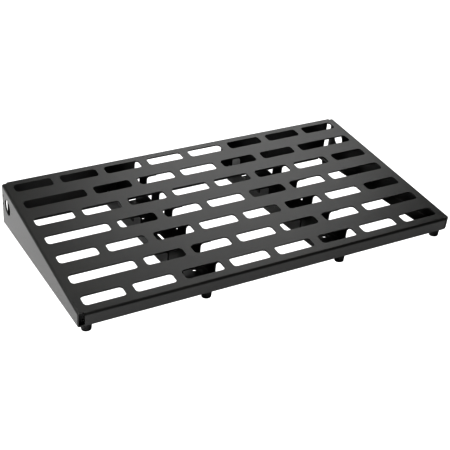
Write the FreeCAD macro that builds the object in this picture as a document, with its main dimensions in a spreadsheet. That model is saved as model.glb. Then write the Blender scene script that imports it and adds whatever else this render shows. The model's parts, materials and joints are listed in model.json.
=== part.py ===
import FreeCAD, Part
import Sketcher
import math
import os

from FreeCAD import Placement, Rotation, Vector

# Pedalboard: one folded aluminium sheet (deck, front lip, side panels and rear wall), two comb-walled
# channel beams under it and eight screwed rubber feet. +X runs to the player's right, +Y to the rear and
# +Z up, with the origin on the floor below the middle of the board.
#
# The sheet, the beams and their studs are drawn in the deck's own frame, which the board's tilt turns
# about X. There x runs across, y down the deck from the lip's outer face and z up from the deck surface.

doc = FreeCAD.newDocument("pedalboard")
sheet = doc.addObject("Spreadsheet::Sheet", "Sizes")

sizes = {
    # folded sheet
    "deck_width": 603,           # across the outer faces of the side panels
    "deck_depth": 332.5,         # along the slope, lip face to rear wall face
    "tilt": 8.5,                 # slope of the deck in degrees
    "front_height": 23,          # front edge of the deck above the underside of the sheet
    "metal": 2,
    "bend_inner": 1.5,           # inner radius of every fold
    "lip_gap": 3.7,              # lower edge of the lip above the underside
    "corner_gap": 5,             # side panel ends this far short of the lip and rear wall faces
    "corner_inset": 8.5,         # lip and rear wall end this far inside the side panel faces
    "side_flange": 25,
    "rear_flange": 18,
    "flange_gap": 3,             # between the side flanges and the rear flange
    # slots in the deck
    "slot_length": 60,
    "slot_width": 20,
    "slot_radius": 5.5,
    "slot_bridge": 13.5,         # metal left between neighbours in a row
    "row_pitch": 47.2,
    "slots_across": 8,           # in the full rows, which alternate with the staggered rows
    "full_rows": 4,
    "front_margin": 16,          # lip face to the first row
    # openings in the walls
    "window_width": 160,
    "window_height": 50,
    "window_drop": 8,
    "window_radius": 6,
    "cable_hole": 25,
    "cable_hole_setback": 30.5,  # from the rear wall face
    "cable_hole_drop": 27,
    "tie_hole": 4,
    "tie_hole_setback": 9.5,
    "tie_hole_drop": 18,         # upper one
    "tie_hole_pitch": 14.5,
    # beams
    "beam_width": 52.5,          # across the outer faces of the walls
    "beam_front_gap": 3,         # to the back of the lip
    "beam_rear_gap": 22,         # to the front of the rear wall
    "notch_margin": 1.5,         # notch reaches this far past its slots, front and rear
    "notch_corner": 4,           # radius between a notch's floor and the posts
    "strip_height": 6.5,         # wall left below the first notch
    "strip_slope": 5,            # slope of the notch floors in degrees
    "tab_length": 16,            # outward, from the wall's outer face
    "tab_bend": 4.5,             # inner radius of the fold between wall and tab
    "web_hole": 6,
    "web_hole_offset": 7.5,
    "web_hole_front": 69,
    "web_hole_pitch": 180,
    "web_slot_width": 5,
    "web_slot_length": 24,
    "web_slot_front": 169,
    # studs and nuts that hold the beams
    "stud_diameter": 4,
    "stud_length": 8,
    "stud_collar": 5.5,
    "stud_collar_height": 0.8,
    "stud_inset": 6,             # from the tab's outer end
    "thread_gap": 0.1,           # on the diameter, nut to thread
    "bolt_gap": 0.5,             # on the diameter of a through hole
    # feet and their fasteners
    "foot_height": 11,
    "foot_top": 16.5,
    "foot_bottom": 13.5,
    "foot_edge": 1,
    "foot_side": 15,             # foot centre inside the side panel face
    "foot_front": 17,            # foot centre behind the lip face
    "foot_rear": 24,             # foot centre before the lower edge of the rear wall
    "beam_foot_rear": 16,        # foot centre before the beam's rear end
    "foot_recess": 8.8,
    "foot_recess_depth": 7.5,
    "insert_height": 1,
    "insert_gap": 0.2,           # on the diameter
    "head_diameter": 7.6,
    "head_height": 2.4,
    "head_edge": 1.6,
    "socket_width": 2.5,
    "socket_depth": 1.4,
    "screw_past_nut": 1,
    "thread_chamfer": 0.5,
    "nut_width": 7,
    "nut_height": 4,
    "nut_flange": 9,
    "nut_flange_height": 1,
}
for row, (name, value) in enumerate(sizes.items(), start=1):
    sheet.set(f"A{row}", name)
    sheet.set(f"B{row}", str(value))
    sheet.setAlias(f"B{row}", name)
doc.recompute()


# Expressions that several pieces share

def underside(y, rise="0"):
    """Deck-frame height of the sheet's level underside, or of a level plane above it."""
    return f"-(Sizes.front_height - ({rise}) + ({y}) * sin(Sizes.tilt)) / cos(Sizes.tilt)"


def level_y(y):
    """Level distance behind the lip's top corner where the deck-frame line at y meets the underside."""
    return f"(({y}) + Sizes.front_height * sin(Sizes.tilt)) / cos(Sizes.tilt)"


bend_outer = "(Sizes.bend_inner + Sizes.metal)"
half_width = "Sizes.deck_width / 2"
lip_top_front = f"{bend_outer} * (cos(Sizes.tilt) + sin(Sizes.tilt) - 1)"
wall_foot_rear = f"({level_y(f'Sizes.deck_depth - {bend_outer} * (1 + sin(Sizes.tilt))')} + {bend_outer})"
origin_y = f"-({lip_top_front} + {wall_foot_rear}) / 2"
slot_pitch = "(Sizes.slot_length + Sizes.slot_bridge)"
beam_front = "(Sizes.metal + Sizes.beam_front_gap)"
beam_rear = "(Sizes.deck_depth - Sizes.metal - Sizes.beam_rear_gap)"
beam_x = f"1.5 * {slot_pitch}"
foot_x = f"({half_width} - Sizes.foot_side)"
corner_foot_rear = f"({level_y('Sizes.deck_depth')} - Sizes.foot_rear)"
beam_foot_rear = f"({level_y(beam_rear)} - Sizes.beam_foot_rear)"
rows = "(2 * Sizes.full_rows - 1)"
shank = "Sizes.stud_diameter / 2"
clearance_hole = "(Sizes.stud_diameter + Sizes.bolt_gap)"
stud_x = "(Sizes.beam_width / 2 + Sizes.tab_length - Sizes.stud_inset)"
stud_rows = "(Sizes.full_rows - 1)"
stud_grid = ((f"2 * {stud_x}", "2"), ("2 * Sizes.row_pitch", stud_rows))
first_post = "(Sizes.front_margin + (Sizes.slot_width + Sizes.row_pitch) / 2)"
last_post = f"({first_post} + ({stud_rows} - 1) * 2 * Sizes.row_pitch)"


def number(text):
    result = sheet.evalExpression(text)
    return float(getattr(result, "Value", result))


def negative(text):
    return f"-({text})"


# Sketches and features

def new_body(name, x="0", y=origin_y, z="Sizes.front_height + Sizes.foot_height", turn="Sizes.tilt"):
    """A body in the deck's frame, moved across by x, unless it is given a place and turn of its own."""
    body = doc.addObject("PartDesign::Body", name)
    body.Label = name
    body.Placement = Placement(Vector(0, 0, 0), Rotation(Vector(1, 0, 0), 1))
    for field, text in (("Base.x", x), ("Base.y", y), ("Base.z", z), ("Rotation.Angle", turn)):
        body.setExpression(f"Placement.{field}", text)
    return body


def new_sketch(body, name, plane, shift=None, turn=None):
    """A sketch on one of the body's origin planes, shifted in the plane's own axes and turned about x."""
    sketch = body.newObject("Sketcher::SketchObject", name)
    support = next(item for item in body.Origin.OriginFeatures if item.Role == plane)
    sketch.AttachmentSupport = [(support, "")]
    sketch.MapMode = "FlatFace"
    sketch.AttachmentOffset = Placement(Vector(0, 0, 0), Rotation(Vector(1, 0, 0), 1 if turn else 0))
    for axis, text in (shift or {}).items():
        sketch.setExpression(f"AttachmentOffset.Base.{axis}", text)
    if turn:
        sketch.setExpression("AttachmentOffset.Rotation.Angle", turn)
    return sketch


def underside_sketch(body, name):
    """A sketch on the level underside: x across, y level behind the lip's top corner."""
    shift = {"y": "-Sizes.front_height * sin(Sizes.tilt)", "z": "-Sizes.front_height * cos(Sizes.tilt)"}
    return new_sketch(body, name, "XY_Plane", shift, "-Sizes.tilt")


def pin(sketch, element, vertex, x, y):
    """Hold one point of a sketch at two expressions, measured from the sketch's origin."""
    for kind, axis, text in (("DistanceX", -2, x), ("DistanceY", -1, y)):
        if text == "0":
            sketch.addConstraint(Sketcher.Constraint("PointOnObject", element, vertex, axis))
            continue
        value = number(text)
        ends = (-1, 1, element, vertex) if value >= 0 else (element, vertex, -1, 1)
        index = sketch.addConstraint(Sketcher.Constraint(kind, *ends, abs(value)))
        sketch.setExpression(f"Constraints[{index}]", text if value >= 0 else negative(text))


def polygon(sketch, points):
    """A closed outline through the points, each a pair of expressions."""
    places = [Vector(number(x), number(y), 0) for x, y in points]
    first = sketch.GeometryCount
    for place, following in zip(places, places[1:] + places[:1]):
        sketch.addGeometry(Part.LineSegment(place, following))
    for step, (x, y) in enumerate(points):
        previous = first + (step - 1) % len(points)
        sketch.addConstraint(Sketcher.Constraint("Coincident", previous, 2, first + step, 1))
        pin(sketch, first + step, 1, x, y)


def rectangle(sketch, left, right, low, high):
    polygon(sketch, [(left, low), (right, low), (right, high), (left, high)])


def circle(sketch, x, y, diameter):
    centre = Vector(number(x), number(y), 0)
    element = sketch.addGeometry(Part.Circle(centre, Vector(0, 0, 1), number(diameter) / 2))
    index = sketch.addConstraint(Sketcher.Constraint("Diameter", element, number(diameter)))
    sketch.setExpression(f"Constraints[{index}]", diameter)
    pin(sketch, element, 3, x, y)


def rounded_rectangle(sketch, left, right, low, high, radius):
    """Four sides and four corner arcs, with the arc centres pinned and the sides tangent to them."""
    corners = [(left, "+", low, "+"), (right, "-", low, "+"), (right, "-", high, "-"),
               (left, "+", high, "-")]
    arcs = []
    for corner, (x, inward_x, y, inward_y) in enumerate(corners):
        x, y = f"{x} {inward_x} {radius}", f"{y} {inward_y} {radius}"
        whole = Part.Circle(Vector(number(x), number(y), 0), Vector(0, 0, 1), number(radius))
        start = math.pi * (1 + corner / 2)
        arcs.append(sketch.addGeometry(Part.ArcOfCircle(whole, start, start + math.pi / 2)))
        pin(sketch, arcs[-1], 3, x, y)
    index = sketch.addConstraint(Sketcher.Constraint("Radius", arcs[0], number(radius)))
    sketch.setExpression(f"Constraints[{index}]", radius)
    for arc in arcs[1:]:
        sketch.addConstraint(Sketcher.Constraint("Equal", arcs[0], arc))
    for arc, following in zip(arcs, arcs[1:] + arcs[:1]):
        ends = (sketch.getPoint(arc, 2), sketch.getPoint(following, 1))
        side = sketch.addGeometry(Part.LineSegment(*ends))
        sketch.addConstraint(Sketcher.Constraint("Tangent", arc, 2, side, 1))
        sketch.addConstraint(Sketcher.Constraint("Tangent", side, 2, following, 1))


def extrude(body, kind, name, sketch, length, side="Symmetric"):
    """A Pad or Pocket of a sketch. A symmetric one reaches half its length each way."""
    before = 0 if body.Shape.isNull() else body.Shape.Volume
    feature = body.newObject(f"PartDesign::{kind}", name)
    feature.Profile = sketch
    feature.SideType = side
    feature.setExpression("Length", length)
    doc.recompute()
    if (feature.Shape.Volume > before) != (kind == "Pad"):
        raise RuntimeError(f"{body.Label}: {name} changed nothing")
    return feature


def spin(body, kind, name, sketch):
    """A Revolution or Groove of a sketch about its vertical axis."""
    feature = body.newObject(f"PartDesign::{kind}", name)
    feature.Profile = sketch
    feature.ReferenceAxis = (sketch, ["V_Axis"])
    feature.Angle = 360
    doc.recompute()
    return feature


def round_edges(body, kind, name, size, places):
    """Fillet or chamfer the edges of the body's tip that pass through the places."""
    base = body.Tip
    places = [Vector(*(number(text) for text in place)) for place in places]
    names = []
    for place in places:
        gaps = [edge.distToShape(Part.Vertex(place))[0] for edge in base.Shape.Edges]
        names.append(f"Edge{gaps.index(min(gaps)) + 1}")
    feature = body.newObject(f"PartDesign::{kind}", name)
    feature.Base = (base, names)
    feature.setExpression("Radius" if kind == "Fillet" else "Size", size)
    doc.recompute()
    return feature


def grid(body, name, sketch, feature, across, along):
    """Repeat a feature, or the whole body if there is none, on a grid of two pitches and counts."""
    pattern = body.newObject("PartDesign::MultiTransform", name)
    if feature:
        pattern.Originals = [feature]
    else:
        pattern.TransformMode = "Whole shape"
    steps = []
    for way, axis, (pitch, count) in (("across", "H_Axis", across), ("along", "V_Axis", along)):
        step = body.newObject("PartDesign::LinearPattern", f"{name}_{way}")
        step.Direction = (sketch, [axis])
        step.Mode = "Spacing"
        step.setExpression("Offset", pitch)
        step.setExpression("Occurrences", count)
        steps.append(step)
    pattern.Transformations = steps
    body.Tip = pattern
    doc.recompute()


def repeat(body, name, across, along):
    """Repeat the whole body as a grid of separate solids."""
    plan = new_sketch(body, f"{name}_plan", "XY_Plane")
    circle(plan, "0", "0", "Sizes.stud_diameter")
    grid(body, name, plan, None, across, along)


# Folded sheet

def wedge(sketch, front, rear, wall):
    """Side view of the board inset by a wall thickness, between two lines square to the deck."""
    polygon(sketch, [(front, negative(wall)), (rear, negative(wall)),
                     (rear, underside(rear, wall)), (front, underside(front, wall))])


def fold_places(half, front, rear, wall):
    """A point on each fold of the sheet, at one wall depth."""
    middle = "Sizes.deck_depth / 2"
    deck = [("0", front, negative(wall)), ("0", rear, negative(wall)),
            (half, middle, negative(wall)), (negative(half), middle, negative(wall))]
    return deck + [("0", rear, underside(rear, wall)), (half, middle, underside(middle, wall)),
                   (negative(half), middle, underside(middle, wall))]


def deck_shell():
    body = new_body("deck_shell")
    outline = new_sketch(body, "shell_outline", "YZ_Plane")
    wedge(outline, "0", "Sizes.deck_depth", "0")
    extrude(body, "Pad", "shell_block", outline, "Sizes.deck_width")

    # open corners: the lip and rear wall stop short of the side panels, and the panels short of them
    corners = new_sketch(body, "corner_sketch", "XY_Plane")
    for left in (negative(half_width), f"{half_width} - Sizes.corner_inset"):
        for low in ("0", "Sizes.deck_depth - Sizes.corner_gap"):
            rectangle(corners, left, f"{left} + Sizes.corner_inset", low, f"{low} + Sizes.corner_gap")
    extrude(body, "Pocket", "corner_notches", corners, "2 * Sizes.deck_depth")

    round_edges(body, "Fillet", "outer_folds", bend_outer,
                fold_places(half_width, "0", "Sizes.deck_depth", "0"))
    cavity = new_sketch(body, "cavity_sketch", "YZ_Plane")
    wedge(cavity, "Sizes.metal", "Sizes.deck_depth - Sizes.metal", "Sizes.metal")
    extrude(body, "Pocket", "cavity", cavity, "Sizes.deck_width - 2 * Sizes.metal")
    round_edges(body, "Fillet", "inner_folds", "Sizes.bend_inner",
                fold_places(f"({half_width} - Sizes.metal)", "Sizes.metal",
                            "Sizes.deck_depth - Sizes.metal", "Sizes.metal"))

    # the open underside, with flanges left along the sides and the rear
    flange_x = f"({half_width} - Sizes.side_flange)"
    return_x = f"({flange_x} - Sizes.flange_gap)"
    return_y = f"{level_y('Sizes.deck_depth')} - Sizes.rear_flange"
    slit_y = level_y("Sizes.deck_depth - Sizes.metal")
    opening = underside_sketch(body, "opening_sketch")
    right = [(flange_x, "0"), (flange_x, slit_y), (return_x, slit_y), (return_x, return_y)]
    polygon(opening, right + [(negative(x), y) for x, y in reversed(right)])
    extrude(body, "Pocket", "open_underside", opening, "3 * Sizes.metal")

    front = new_sketch(body, "front_trim_sketch", "YZ_Plane")
    lip_edge = underside("0", "Sizes.lip_gap")
    rectangle(front, "-Sizes.metal", "Sizes.corner_gap", f"{lip_edge} - Sizes.front_height", lip_edge)
    extrude(body, "Pocket", "front_trim", front, "2 * Sizes.deck_width")

    rear = new_sketch(body, "rear_relief_sketch", "XZ_Plane", {"z": "-Sizes.deck_depth"})
    wall_edge = underside("Sizes.deck_depth")
    for left, right in ((return_x, half_width), (negative(half_width), f"-{return_x}")):
        rectangle(rear, left, right, f"{wall_edge} - Sizes.metal", f"{wall_edge} + {bend_outer}")
    extrude(body, "Pocket", "rear_relief", rear, "2 * Sizes.corner_gap")

    window = new_sketch(body, "window_sketch", "XZ_Plane", {"z": "-Sizes.deck_depth"})
    rounded_rectangle(window, "-Sizes.window_width / 2", "Sizes.window_width / 2",
                      "-Sizes.window_drop - Sizes.window_height", "-Sizes.window_drop",
                      "Sizes.window_radius")
    extrude(body, "Pocket", "rear_window", window, "4 * Sizes.metal")

    sides = new_sketch(body, "side_hole_sketch", "YZ_Plane")
    circle(sides, "Sizes.deck_depth - Sizes.cable_hole_setback", "-Sizes.cable_hole_drop",
           "Sizes.cable_hole")
    for drop in ("Sizes.tie_hole_drop", "(Sizes.tie_hole_drop + Sizes.tie_hole_pitch)"):
        circle(sides, "Sizes.deck_depth - Sizes.tie_hole_setback", f"-{drop}", "Sizes.tie_hole")
    extrude(body, "Pocket", "side_holes", sides, "2 * Sizes.deck_width")

    feet = underside_sketch(body, "foot_hole_sketch")
    for x in (negative(foot_x), foot_x):
        for y in ("Sizes.foot_front", corner_foot_rear):
            circle(feet, x, y, clearance_hole)
    extrude(body, "Pocket", "foot_holes", feet, "4 * Sizes.metal")

    slots(body)
    return body


def slots(body):
    """Full rows of equal slots, and between them staggered rows that end in a longer slot each side."""
    outer = f"((Sizes.slots_across - 1) * {slot_pitch} + Sizes.slot_length) / 2"
    half = "Sizes.slot_length / 2"
    inner_slots = "(Sizes.slots_across - 3)"
    staggered_x = f"({inner_slots} - 1) * {slot_pitch} / 2"
    long_start = f"{staggered_x} + {half} + Sizes.slot_bridge"
    low = {"full": "Sizes.front_margin", "staggered": "Sizes.front_margin + Sizes.row_pitch"}
    kinds = (("slot", "full", f"-{outer}", f"-{outer} + Sizes.slot_length",
              slot_pitch, "Sizes.slots_across", "Sizes.full_rows"),
             ("staggered_slot", "staggered", f"-{staggered_x} - {half}", f"-{staggered_x} + {half}",
              slot_pitch, inner_slots, "Sizes.full_rows - 1"),
             ("long_slot", "staggered", f"-{outer}", f"-({long_start})",
              f"{outer} + {long_start}", "2", "Sizes.full_rows - 1"))
    for name, row, left, right, pitch, across, along in kinds:
        sketch = new_sketch(body, f"{name}_sketch", "XY_Plane")
        rounded_rectangle(sketch, left, right, low[row], f"{low[row]} + Sizes.slot_width",
                          "Sizes.slot_radius")
        first = extrude(body, "Pocket", name, sketch, "4 * Sizes.metal")
        grid(body, f"{name}_grid", sketch, first, (pitch, across), ("2 * Sizes.row_pitch", along))


# Beams

def beam(name, x):
    """Hat channel: a web above the feet, two comb walls and outward tabs against the deck."""
    body = new_body(name, x)
    half, inner = "Sizes.beam_width / 2", "(Sizes.beam_width / 2 - Sizes.metal)"
    middle = f"({beam_front} + {beam_rear}) / 2"

    def long_edges(side, level):
        return [(side, middle, level), (negative(side), middle, level)]

    outline = new_sketch(body, "beam_outline", "YZ_Plane")
    polygon(outline, [(beam_front, "-Sizes.metal"), (beam_rear, "-Sizes.metal"),
                      (beam_rear, underside(beam_rear)), (beam_front, underside(beam_front))])
    extrude(body, "Pad", "beam_block", outline, "Sizes.beam_width")
    round_edges(body, "Fillet", "outer_folds", bend_outer, long_edges(half, underside(middle)))

    flat = new_sketch(body, "tab_outline", "YZ_Plane")
    rectangle(flat, beam_front, beam_rear, "-2 * Sizes.metal", "-Sizes.metal")
    extrude(body, "Pad", "tabs", flat, "Sizes.beam_width + 2 * Sizes.tab_length")
    round_edges(body, "Fillet", "tab_folds", "Sizes.tab_bend", long_edges(half, "-2 * Sizes.metal"))

    hollow = new_sketch(body, "hollow_sketch", "YZ_Plane")
    front, rear = f"{beam_front} - Sizes.metal", f"{beam_rear} + Sizes.metal"
    polygon(hollow, [(front, "Sizes.metal"), (rear, "Sizes.metal"),
                     (rear, underside(rear, "Sizes.metal")), (front, underside(front, "Sizes.metal"))])
    extrude(body, "Pocket", "hollow", hollow, "Sizes.beam_width - 2 * Sizes.metal")
    round_edges(body, "Fillet", "inner_folds", "Sizes.bend_inner",
                long_edges(inner, underside(middle, "Sizes.metal")))
    round_edges(body, "Fillet", "tab_fold_backs", "Sizes.tab_bend + Sizes.metal",
                long_edges(inner, "-Sizes.metal"))

    # notches clear every row of slots and leave posts between them, above a strip along the web
    notches = new_sketch(body, "notch_sketch", "YZ_Plane")
    datum = "(Sizes.front_margin + Sizes.slot_width / 2)"
    corners = []
    for row in range(int(number(rows))):
        start = f"(Sizes.front_margin + {row} * Sizes.row_pitch)"
        front = f"{start} - Sizes.notch_margin" if row else f"{beam_front} - Sizes.metal"
        rear = f"{start} + Sizes.slot_width + Sizes.notch_margin"
        floor = [f"({underside(datum, 'Sizes.strip_height')}"
                 f" - ({y} - {datum}) * tan(Sizes.tilt - Sizes.strip_slope))" for y in (front, rear)]
        polygon(notches, [(front, floor[0]), (rear, floor[1]), (rear, "Sizes.metal"),
                          (front, "Sizes.metal")])
        corners += [(y, level) for y, level in zip((front, rear), floor)
                    if number(beam_front) < number(y) < number(beam_rear)]
    extrude(body, "Pocket", "notches", notches, "2 * (Sizes.beam_width + 2 * Sizes.tab_length)")
    wall = f"({half} - Sizes.metal / 2)"
    round_edges(body, "Fillet", "notch_corners", "Sizes.notch_corner",
                [(side, y, level) for side in (wall, negative(wall)) for y, level in corners])

    holes = new_sketch(body, "tab_hole_sketch", "XY_Plane")
    circle(holes, negative(stud_x), first_post, "Sizes.stud_collar + Sizes.bolt_gap")
    hole = extrude(body, "Pocket", "tab_hole", holes, "6 * Sizes.metal")
    grid(body, "tab_holes", holes, hole, *stud_grid)

    web = underside_sketch(body, "web_sketch")
    for y in ("Sizes.foot_front", beam_foot_rear):
        circle(web, "0", y, clearance_hole)
    for y in ("Sizes.web_hole_front", "Sizes.web_hole_front + Sizes.web_hole_pitch"):
        circle(web, "Sizes.web_hole_offset", y, "Sizes.web_hole")
    rounded_rectangle(web, "Sizes.web_hole_offset - Sizes.web_slot_width / 2",
                      "Sizes.web_hole_offset + Sizes.web_slot_width / 2", "Sizes.web_slot_front",
                      "Sizes.web_slot_front + Sizes.web_slot_length", "Sizes.web_slot_width / 2.5")
    extrude(body, "Pocket", "web_holes", web, "3 * Sizes.metal")
    return body


# Fasteners

def hexagon(sketch, width):
    """Regular hexagon about the sketch's origin, with its width across flats."""
    corner = f"({width}) / 2 / cos(30)"
    half = f"{corner} / 2"
    flat = f"({width}) / 2"
    polygon(sketch, [(corner, "0"), (half, flat), (negative(half), flat), (negative(corner), "0"),
                     (negative(half), negative(flat)), (half, negative(flat))])


def deck_place(x, y, z):
    """World place of a deck-frame point."""
    return (x, f"{origin_y} + ({y}) * cos(Sizes.tilt) - ({z}) * sin(Sizes.tilt)",
            f"Sizes.front_height + Sizes.foot_height + ({y}) * sin(Sizes.tilt) + ({z}) * cos(Sizes.tilt)")


def turned(body, name, outline):
    """A Revolution about z of a radius and height outline."""
    sketch = new_sketch(body, f"{name}_profile", "XZ_Plane")
    polygon(sketch, outline)
    spin(body, "Revolution", name, sketch)


def studs(name, x):
    """Weld studs that hang from the deck's underside, a pair on every second post of a beam."""
    body = new_body(name, *deck_place(f"{x} - {stud_x}", first_post, "-Sizes.metal"))
    collar, tip = "Sizes.stud_collar / 2", "Sizes.stud_length"
    turned(body, "stud", [
        ("0", "0"), (collar, "0"), (collar, "-Sizes.stud_collar_height"),
        (shank, "-Sizes.stud_collar_height"), (shank, f"-({tip} - Sizes.thread_chamfer)"),
        (f"{shank} - Sizes.thread_chamfer", negative(tip)), ("0", negative(tip))])
    repeat(body, "all_studs", *stud_grid)
    return body


def nuts(name, place, turn, across, along):
    """Flange nuts that stand on z = 0, bored for the thread."""
    body = new_body(name, *place, turn)
    plan = new_sketch(body, "nut_plan", "XY_Plane")
    hexagon(plan, "Sizes.nut_width")
    extrude(body, "Pad", "hexagon", plan, "Sizes.nut_height", "One side")
    cut = new_sketch(body, "nut_crown_profile", "XZ_Plane")
    corner, flat = "Sizes.nut_width / 2 / cos(30) + 0.5", "Sizes.nut_width / 2"
    polygon(cut, [(flat, "Sizes.nut_height"), (corner, "Sizes.nut_height"),
                  (corner, f"Sizes.nut_height - ({corner} - {flat}) * tan(30)")])
    spin(body, "Groove", "nut_crown", cut)
    flange = new_sketch(body, "nut_flange_plan", "XY_Plane")
    circle(flange, "0", "0", "Sizes.nut_flange")
    extrude(body, "Pad", "nut_flange", flange, "Sizes.nut_flange_height", "One side")
    bore = new_sketch(body, "nut_bore_plan", "XY_Plane")
    circle(bore, "0", "0", "Sizes.stud_diameter + Sizes.thread_gap")
    extrude(body, "Pocket", "nut_bore", bore, "4 * Sizes.nut_height")
    repeat(body, "all_nuts", across, along)
    return body


# Feet

def foot(name, x, y):
    """Tapered rubber foot with a recess from below for the insert and screw head."""
    body = new_body(name, x, f"{origin_y} + {y}", "0", "0")
    hole, recess = f"{clearance_hole} / 2", "Sizes.foot_recess / 2"
    turned(body, "foot", [
        (hole, "Sizes.foot_recess_depth"), (recess, "Sizes.foot_recess_depth"), (recess, "0"),
        ("Sizes.foot_bottom / 2", "0"), ("Sizes.foot_top / 2", "Sizes.foot_height"),
        (hole, "Sizes.foot_height")])
    round_edges(body, "Fillet", "lower_edge", "Sizes.foot_edge", [("Sizes.foot_bottom / 2", "0", "0")])
    return body


def inserts(name, place, across, along):
    body = new_body(name, *place, "0")
    inner, outer = f"{clearance_hole} / 2", "(Sizes.foot_recess - Sizes.insert_gap) / 2"
    turned(body, "insert", [(inner, "-Sizes.insert_height"), (outer, "-Sizes.insert_height"),
                            (outer, "0"), (inner, "0")])
    repeat(body, "all_inserts", across, along)
    return body


def screws(name, place, across, along):
    """Button-head screws, head down, seated under their inserts at z = 0."""
    body = new_body(name, *place, "0")
    head = "Sizes.head_diameter / 2"
    tip = ("(Sizes.insert_height + Sizes.foot_height - Sizes.foot_recess_depth + Sizes.metal"
           " + Sizes.nut_height + Sizes.screw_past_nut)")
    turned(body, "screw", [
        ("0", "-Sizes.head_height"), (head, "-Sizes.head_height"), (head, "0"), (shank, "0"),
        (shank, f"{tip} - Sizes.thread_chamfer"), (f"{shank} - Sizes.thread_chamfer", tip), ("0", tip)])
    round_edges(body, "Fillet", "head_edge", "Sizes.head_edge", [(head, "0", "-Sizes.head_height")])
    socket = new_sketch(body, "socket_plan", "XY_Plane", {"z": "-Sizes.head_height"})
    hexagon(socket, "Sizes.socket_width")
    extrude(body, "Pocket", "socket", socket, "2 * Sizes.socket_depth")
    repeat(body, "all_screws", across, along)
    return body


# The assembly

nodes = [deck_shell()]
for side, centre in (("left", negative(beam_x)), ("right", beam_x)):
    nodes.append(beam(f"{side}_beam", centre))
    nodes.append(studs(f"{side}_beam_studs", centre))
    # these nuts hang upside down from the rearmost pair of tabs, so their grid runs forward
    seat = deck_place(f"{centre} - {stud_x}", last_post, "-2 * Sizes.metal")
    nodes.append(nuts(f"{side}_beam_nuts", seat, "Sizes.tilt + 180", *stud_grid))

for kind, half_pitch, rear in (("corner", foot_x, corner_foot_rear), ("beam", beam_x, beam_foot_rear)):
    for end, y in (("front", "Sizes.foot_front"), ("rear", rear)):
        for side, x in (("left", negative(half_pitch)), ("right", half_pitch)):
            nodes.append(foot(f"{end}_{side}_{kind}_foot", x, y))
    foot_grid = ((f"2 * {half_pitch}", "2"), (f"{rear} - Sizes.foot_front", "2"))
    x, y = negative(half_pitch), f"{origin_y} + Sizes.foot_front"
    recess = "Sizes.foot_recess_depth"
    nodes.append(inserts(f"{kind}_foot_inserts", (x, y, recess), *foot_grid))
    nodes.append(screws(f"{kind}_foot_screws", (x, y, f"{recess} - Sizes.insert_height"), *foot_grid))
    nodes.append(nuts(f"{kind}_foot_nuts", (x, y, "Sizes.foot_height + Sizes.metal"), "0", *foot_grid))

doc.recompute()
failed = [item.Label for item in doc.Objects if {"Invalid", "Error"} & set(item.State)]
failed += [node.Label for node in nodes if node.Shape.isNull() or not node.Shape.isValid()]
if failed:
    raise RuntimeError("failed: " + ", ".join(failed))

os.makedirs("parts", exist_ok=True)
for node in nodes:
    node.Shape.exportStep(f"parts/{node.Label}.step")
    box = node.Shape.BoundBox
    print(f"{node.Label}: {len(node.Shape.Solids)} solids, {node.Shape.Volume:.0f} mm3,"
          f" x {box.XMin:.1f}..{box.XMax:.1f}, y {box.YMin:.1f}..{box.YMax:.1f},"
          f" z {box.ZMin:.1f}..{box.ZMax:.1f}")
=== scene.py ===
import json
import math

import bpy
from mathutils import Matrix, Vector


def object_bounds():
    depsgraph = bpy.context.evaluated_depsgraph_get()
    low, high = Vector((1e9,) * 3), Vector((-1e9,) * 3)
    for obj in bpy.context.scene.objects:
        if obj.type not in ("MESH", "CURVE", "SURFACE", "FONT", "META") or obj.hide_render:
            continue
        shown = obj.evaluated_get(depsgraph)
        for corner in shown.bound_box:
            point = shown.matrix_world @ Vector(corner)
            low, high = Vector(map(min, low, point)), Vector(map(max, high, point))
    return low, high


# A sloped pedalboard. The folded deck, beams, feet and fasteners keep their CAD shapes and get their
# finishes here. Metres, +Z up, +X to the player's right, floor at z = 0.

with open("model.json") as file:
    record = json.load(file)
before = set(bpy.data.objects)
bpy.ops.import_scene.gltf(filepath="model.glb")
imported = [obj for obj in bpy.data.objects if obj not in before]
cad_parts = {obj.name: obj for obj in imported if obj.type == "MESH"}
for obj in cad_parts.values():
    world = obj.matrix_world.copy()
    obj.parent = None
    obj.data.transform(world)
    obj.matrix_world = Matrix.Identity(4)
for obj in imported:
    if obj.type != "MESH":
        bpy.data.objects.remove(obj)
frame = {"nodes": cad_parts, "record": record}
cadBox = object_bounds()
print("frame loaded:", len(frame["nodes"]), "nodes")


# Camera

board = {
    "footHeight": 0.011,
    "frontHeight": 0.023,    # deck corner above the underside at the lip
    "lipOffset": 0.00048,    # how far the rounded lip corner stands behind the sharp one
}
shot = {
    "focal": 76.2,
    "sensor": 36,
    "shift": (0.0444, -0.0444),
    "azimuth": -27.34,
    "elevation": 26.54,
    "roll": 0.21,
    "fromLip": (-0.6272, -0.9781, 0.6670),   # camera place from the lip's top corner at mid length
    "reach": 20,                             # farthest distance that it draws
}


def makeCamera():
    lip = Vector((0, cadBox[0][1] - board["lipOffset"], board["footHeight"] + board["frontHeight"]))
    data = bpy.data.cameras.new("camera")
    data.lens = shot["focal"]
    data.sensor_width = shot["sensor"]
    data.shift_x, data.shift_y = shot["shift"]
    data.clip_end = shot["reach"]
    camera = bpy.data.objects.new("camera", data)
    bpy.context.scene.collection.objects.link(camera)
    turn = (Matrix.Rotation(math.radians(shot["azimuth"]), 4, "Z")
            @ Matrix.Rotation(math.radians(90 - shot["elevation"]), 4, "X")
            @ Matrix.Rotation(math.radians(shot["roll"]), 4, "Z"))
    camera.matrix_world = Matrix.Translation(lip + Vector(shot["fromLip"])) @ turn
    bpy.context.scene.camera = camera


makeCamera()
print("camera placed")


# Finishes

def hexToLinear(text):
    channels = [int(text[i:i + 2], 16) / 255 for i in (1, 3, 5)]
    linear = [c / 12.92 if c <= 0.04045 else ((c + 0.055) / 1.055) ** 2.4 for c in channels]
    return (*linear, 1.0)


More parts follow.
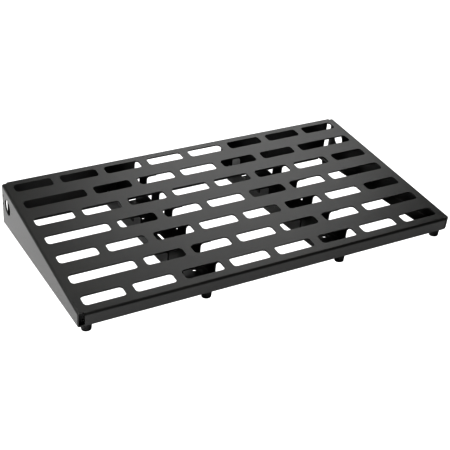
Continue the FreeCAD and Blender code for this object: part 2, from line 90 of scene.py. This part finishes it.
def addNode(tree, kind, place, values=None, links=None):
    # values and links set the node's inputs, each by its socket
    node = tree.nodes.new(kind)
    node.location = place
    for socket, value in (values or {}).items():
        node.inputs[socket].default_value = value
    for socket, source in (links or {}).items():
        tree.links.new(source, node.inputs[socket])
    return node


def newMaterial(name):
    material = bpy.data.materials.new(name)
    material.use_nodes = True
    tree = material.node_tree
    tree.nodes.clear()
    output = addNode(tree, "ShaderNodeOutputMaterial", (1000, 0))
    shader = addNode(tree, "ShaderNodeBsdfPrincipled", (600, 0))
    tree.links.new(shader.outputs["BSDF"], output.inputs["Surface"])
    return material, tree, shader


def addPattern(tree, pattern, height):
    # noise that stays fixed to the piece
    place = addNode(tree, "ShaderNodeTexCoord", (-900, height))
    noise = addNode(tree, "ShaderNodeTexNoise", (-650, height), values={
        "Scale": 1000 / pattern["millimetres"], "Detail": pattern["detail"],
        "Roughness": pattern["roughness"]}, links={"Vector": place.outputs["Object"]})
    return noise.outputs["Fac"]


def addTint(finish, tree, shader, pattern):
    # the colour wanders between dark and light
    ramp = addNode(tree, "ShaderNodeValToRGB", (-350, 250), links={"Fac": pattern})
    stops = zip(ramp.color_ramp.elements, finish["spread"], (finish["dark"], finish["light"]))
    for element, position, colour in stops:
        element.position = position
        element.color = hexToLinear(colour)
    tree.links.new(ramp.outputs["Color"], shader.inputs["Base Color"])


def addGloss(finish, tree, shader, pattern):
    smooth, dull = finish["roughness"]
    gloss = addNode(tree, "ShaderNodeMapRange", (-350, -60), values={"To Min": smooth, "To Max": dull},
                    links={"Value": pattern})
    tree.links.new(gloss.outputs["Result"], shader.inputs["Roughness"])


def addBump(finish, tree, shader, pattern):
    bump = addNode(tree, "ShaderNodeBump", (-100, -250), values={
        "Strength": finish["bump"], "Distance": finish["bumpDepth"]}, links={"Height": pattern})
    tree.links.new(bump.outputs["Normal"], shader.inputs["Normal"])


powderCoat = {
    "dark": "#131312",
    "light": "#1A1A18",
    "spread": (0.3, 0.7),
    "mottle": {"millimetres": 60, "detail": 3.0, "roughness": 0.55},   # slow change in film thickness
    "peel": {"millimetres": 1.1, "detail": 4.0, "roughness": 0.6},     # really 0.4, too fine to show
    "roughness": (0.34, 0.44),
    "bump": 0.05,
    "bumpDepth": 0.0003,
    "ior": 1.5,
}


def makePowderCoat():
    # black polyester powder coat, baked: semi-matte, with a broad soft shine and fine orange peel
    material, tree, shader = newMaterial("blackPowderCoat")
    addTint(powderCoat, tree, shader, addPattern(tree, powderCoat["mottle"], 200))
    peel = addPattern(tree, powderCoat["peel"], -200)
    addGloss(powderCoat, tree, shader, peel)
    addBump(powderCoat, tree, shader, peel)
    shader.inputs["IOR"].default_value = powderCoat["ior"]
    return material


footRubber = {
    "dark": "#0F0F0F",
    "light": "#191918",
    "spread": (0.3, 0.75),
    "skin": {"millimetres": 0.8, "detail": 2.0, "roughness": 0.5},
    "roughness": (0.62, 0.78),
    "bump": 0.12,
    "bumpDepth": 0.0003,
    "ior": 1.52,
}


def makeRubber():
    # moulded natural rubber, carbon black: nearly no shine, with a faint pebbled skin
    material, tree, shader = newMaterial("mouldedRubber")
    skin = addPattern(tree, footRubber["skin"], 0)
    addTint(footRubber, tree, shader, skin)
    addGloss(footRubber, tree, shader, skin)
    addBump(footRubber, tree, shader, skin)
    shader.inputs["IOR"].default_value = footRubber["ior"]
    return material


zincPlate = {
    "dark": "#8C8B86",
    "light": "#B9B8B2",
    "spread": (0.3, 0.7),
    "cloud": {"millimetres": 1.6, "detail": 3.0, "roughness": 0.5},
    "roughness": (0.28, 0.42),
    "metallic": 1.0,
}


def makeZincPlate():
    # clear-passivated zinc plate on steel: pale grey metal, slightly clouded by the plating bath
    material, tree, shader = newMaterial("zincPlatedSteel")
    cloud = addPattern(tree, zincPlate["cloud"], 0)
    addTint(zincPlate, tree, shader, cloud)
    addGloss(zincPlate, tree, shader, cloud)
    shader.inputs["Metallic"].default_value = zincPlate["metallic"]
    return material


finishes = {"powder_coat": makePowderCoat(), "foot_rubber": makeRubber(), "zinc_steel": makeZincPlate()}
slotOf = {part["node"]: part["material_slot"] for part in frame["record"]["subparts"]}
for nodeName, piece in frame["nodes"].items():
    for materialSlot in piece.material_slots:
        materialSlot.material = finishes[slotOf[nodeName]]
print("finishes set:", ", ".join(material.name for material in finishes.values()))


# Floor and light

paper = {
    "size": 12.0,
    "drop": 0.0005,           # just below the feet
    "colour": "#F4F4F4",
    "roughness": 0.9,
    "specular": 0.2,
}
room = {
    "horizon": 0.02,          # dark at eye level and paler overhead
    "zenith": 0.08,
    "paleFrom": 0.25,         # sine of the height where it starts to pale
    "ground": {"Color": (1, 1, 1, 1), "Strength": 1.0},   # pure white behind the board
    "lamps": [   # place, aim, size, watts
        ((-1.2, 0.0, 2.0), (-0.4, 0.0, 0.0), (1.2, 1.2), 74),   # bench light over the left side
        ((1.88, 2.75, 2.6), (0.1, 0.0, 0.05), (1.9, 1.2), 26),  # shine on the deck
        ((-0.5, 2.3, 0.4), (0.0, 0.17, 0.04), (1.6, 0.4), 9),   # low fill on the rear wall
    ],
}


def makeFloor():
    # matt white paper that shows as pure white from above and isn't there from below
    bpy.ops.object.select_all(action="DESELECT")
    bpy.ops.mesh.primitive_plane_add(size=paper["size"], location=(0, 0, -paper["drop"]))
    floor = bpy.context.object
    floor.name = "floor"
    material, tree, shader = newMaterial("studioPaper")
    shader.inputs["Base Color"].default_value = hexToLinear(paper["colour"])
    shader.inputs["Roughness"].default_value = paper["roughness"]
    shader.inputs["Specular IOR Level"].default_value = paper["specular"]
    rays = addNode(tree, "ShaderNodeLightPath", (600, 300))
    side = addNode(tree, "ShaderNodeNewGeometry", (300, 600))
    white = addNode(tree, "ShaderNodeEmission", (300, 350), values=room["ground"])
    clear = addNode(tree, "ShaderNodeBsdfTransparent", (300, 200))
    seen = addNode(tree, "ShaderNodeMixShader", (600, 600), links={
        0: side.outputs["Backfacing"], 1: white.outputs["Emission"], 2: clear.outputs["BSDF"]})
    mix = addNode(tree, "ShaderNodeMixShader", (800, 150), links={
        0: rays.outputs["Is Camera Ray"], 1: shader.outputs["BSDF"], 2: seen.outputs["Shader"]})
    tree.links.new(mix.outputs["Shader"], tree.nodes["Material Output"].inputs["Surface"])
    floor.data.materials.append(material)


def makeRoom():
    # dim walls that the board sees, and plain white where the camera looks past the floor
    world = bpy.data.worlds.new("studio")
    world.use_nodes = True
    tree = world.node_tree
    direction = addNode(tree, "ShaderNodeTexCoord", (-900, 0)).outputs["Generated"]
    split = addNode(tree, "ShaderNodeSeparateXYZ", (-700, 0), links={"Vector": direction})
    level = addNode(tree, "ShaderNodeMapRange", (-500, 0), values={
        "From Min": room["paleFrom"], "To Min": room["horizon"], "To Max": room["zenith"]},
        links={"Value": split.outputs["Z"]})
    walls = tree.nodes["Background"]
    walls.inputs["Color"].default_value = room["ground"]["Color"]
    tree.links.new(level.outputs["Result"], walls.inputs["Strength"])
    rays = addNode(tree, "ShaderNodeLightPath", (0, 500))
    white = addNode(tree, "ShaderNodeBackground", (0, 0), values=room["ground"])
    mix = addNode(tree, "ShaderNodeMixShader", (200, 300), links={
        0: rays.outputs["Is Camera Ray"], 1: walls.outputs["Background"], 2: white.outputs["Background"]})
    tree.links.new(mix.outputs["Shader"], tree.nodes["World Output"].inputs["Surface"])
    bpy.context.scene.world = world


def makeLamps():
    for index, (place, aim, size, watts) in enumerate(room["lamps"]):
        data = bpy.data.lights.new(f"softbox{index}", "AREA")
        data.shape = "RECTANGLE"
        data.size, data.size_y = size
        data.energy = watts
        lamp = bpy.data.objects.new(data.name, data)
        turn = (Vector(aim) - Vector(place)).to_track_quat("-Z", "Y").to_matrix().to_4x4()
        lamp.matrix_world = Matrix.Translation(place) @ turn
        bpy.context.scene.collection.objects.link(lamp)


makeFloor()
makeRoom()
makeLamps()
bpy.context.scene.view_settings.view_transform = "Standard"
bpy.context.scene.view_settings.look = "High Contrast"
print("floor and lights set")
